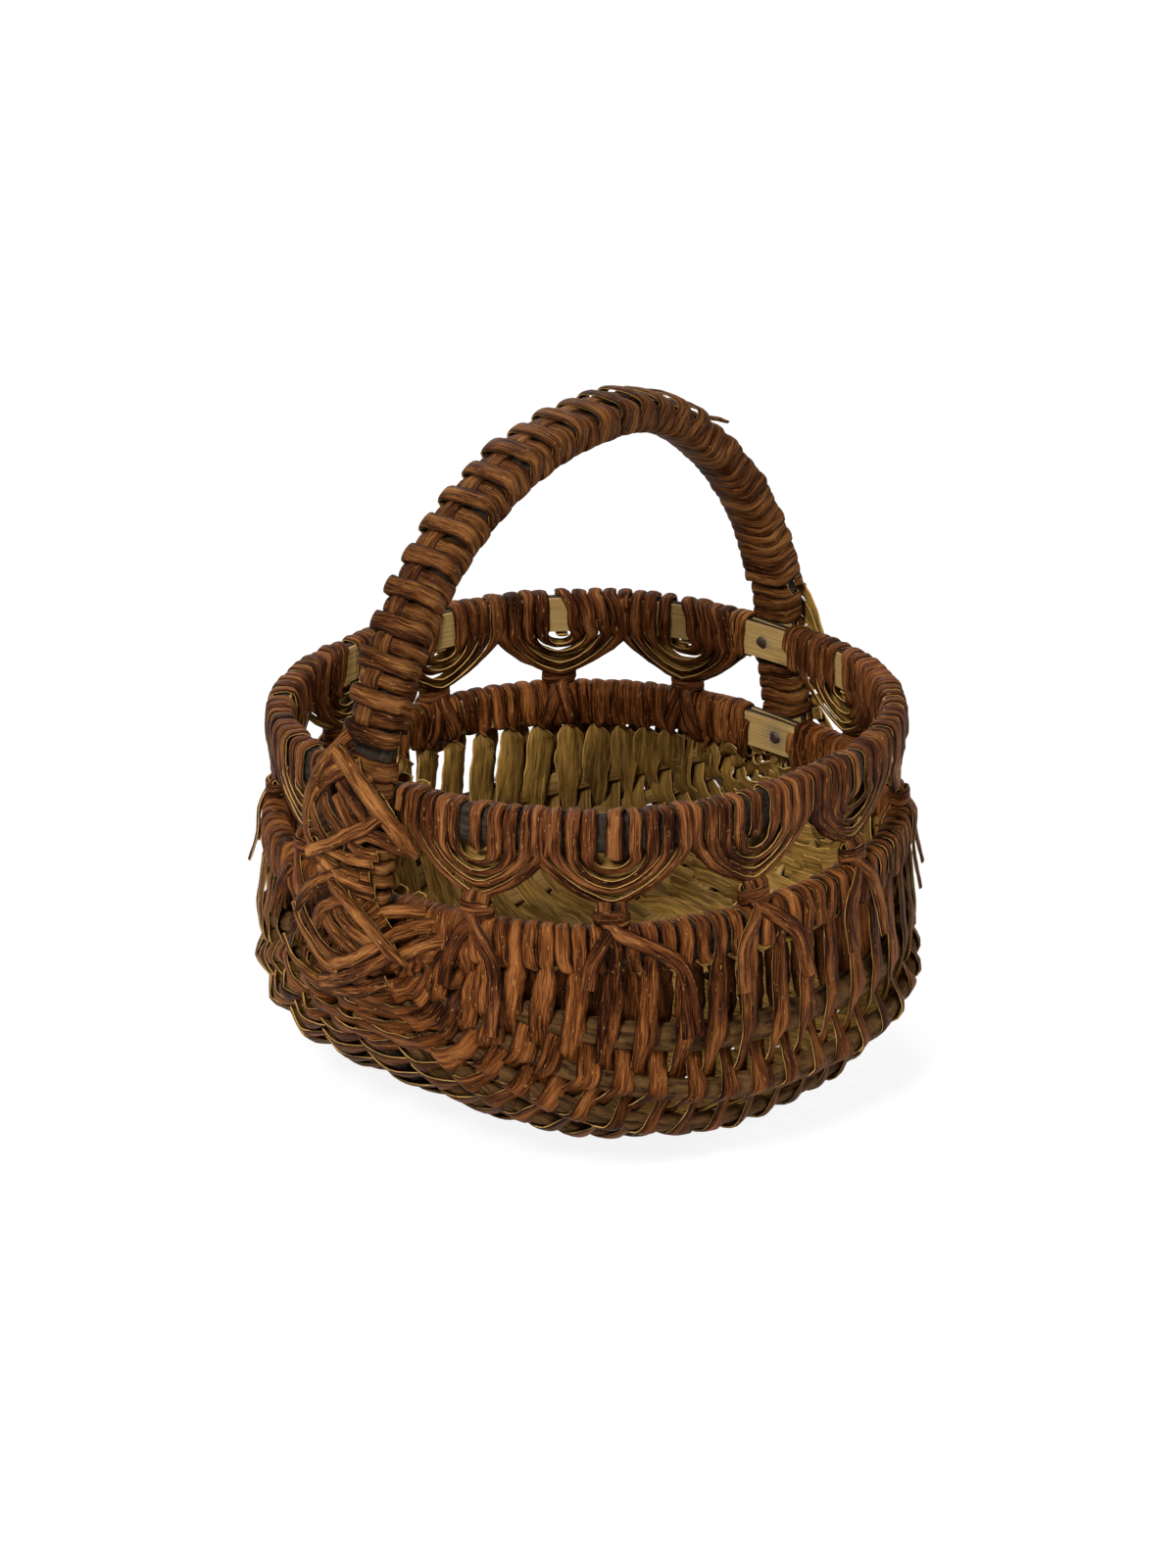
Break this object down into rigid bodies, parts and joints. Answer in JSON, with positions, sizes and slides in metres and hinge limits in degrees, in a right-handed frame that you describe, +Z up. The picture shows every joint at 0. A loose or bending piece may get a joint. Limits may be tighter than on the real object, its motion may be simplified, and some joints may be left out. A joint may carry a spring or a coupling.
{
  "type": "berry basket",
  "caption": "Round ribbed berry basket of split willow with a looped gallery under the rim and a wrapped bow handle.",
  "frame": {"origin": "on the surface that the basket stands on, under the middle of its bounding box", "axes": "+Z up; the bow handle lies in the XZ plane; +Y and -Y are the long walls beside it"},
  "size_m": [0.2446, 0.232, 0.2583],
  "materials": {
    "hoop_bark": "near-black bark on a split rod",
    "rib_bark": "mottled grey-brown bark on slim sticks",
    "weaver_bark": "reddish-brown willow bark with pale split edges",
    "gallery_skein": "satin brown bark skein with pale split edges",
    "handle_skein": "worn brown bark skein",
    "eye_skein": "brown bark skein with yellow split edges",
    "old_iron": "dark rusted iron"
  },
  "bodies": {
    "root": {"upper_rim_hoop": "hoop_bark", "lower_rim_hoop": "hoop_bark", "handle_hoop": "hoop_bark", "rim_nail_upper": "old_iron", "rim_nail_lower": "old_iron", "rib_01": "rib_bark", "rib_02": "rib_bark", "rib_03": "rib_bark", "rib_04": "rib_bark", "rib_05": "rib_bark", "rib_06": "rib_bark", "rib_07": "rib_bark", "rib_08": "rib_bark", "rib_09": "rib_bark", "rib_10": "rib_bark", "weaver_01": "weaver_bark", "weaver_02": "weaver_bark", "weaver_03": "weaver_bark", "weaver_04": "weaver_bark", "weaver_05": "weaver_bark", "weaver_06": "weaver_bark", "gallery_loop_01": "gallery_skein", "gallery_loop_02": "gallery_skein", "gallery_loop_03": "gallery_skein", "gallery_loop_04": "gallery_skein", "gallery_loop_05": "gallery_skein", "gallery_loop_06": "gallery_skein", "gallery_loop_07": "gallery_skein", "gallery_loop_08": "gallery_skein", "gallery_loop_09": "gallery_skein", "gallery_loop_10": "gallery_skein", "gallery_loop_11": "gallery_skein", "gallery_loop_12": "gallery_skein", "gallery_tie_01": "gallery_skein", "gallery_tie_02": "gallery_skein", "gallery_tie_03": "gallery_skein", "gallery_tie_04": "gallery_skein", "gallery_tie_05": "gallery_skein", "gallery_tie_06": "gallery_skein", "gallery_tie_07": "gallery_skein", "gallery_tie_08": "gallery_skein", "gallery_tie_09": "gallery_skein", "gallery_tie_10": "gallery_skein", "gallery_tie_11": "gallery_skein", "gallery_tie_12": "gallery_skein", "eye_lashing_upper_left": "eye_skein", "eye_lashing_upper_right": "eye_skein", "eye_lashing_lower_left": "eye_skein", "eye_lashing_lower_right": "eye_skein", "handle_listed_wrap": "handle_skein", "handle_plain_wrap": "handle_skein", "handle_listing_strip": "handle_skein", "foot_wrap_left": "handle_skein", "foot_wrap_right": "handle_skein"}
  },
  "joints": []
}
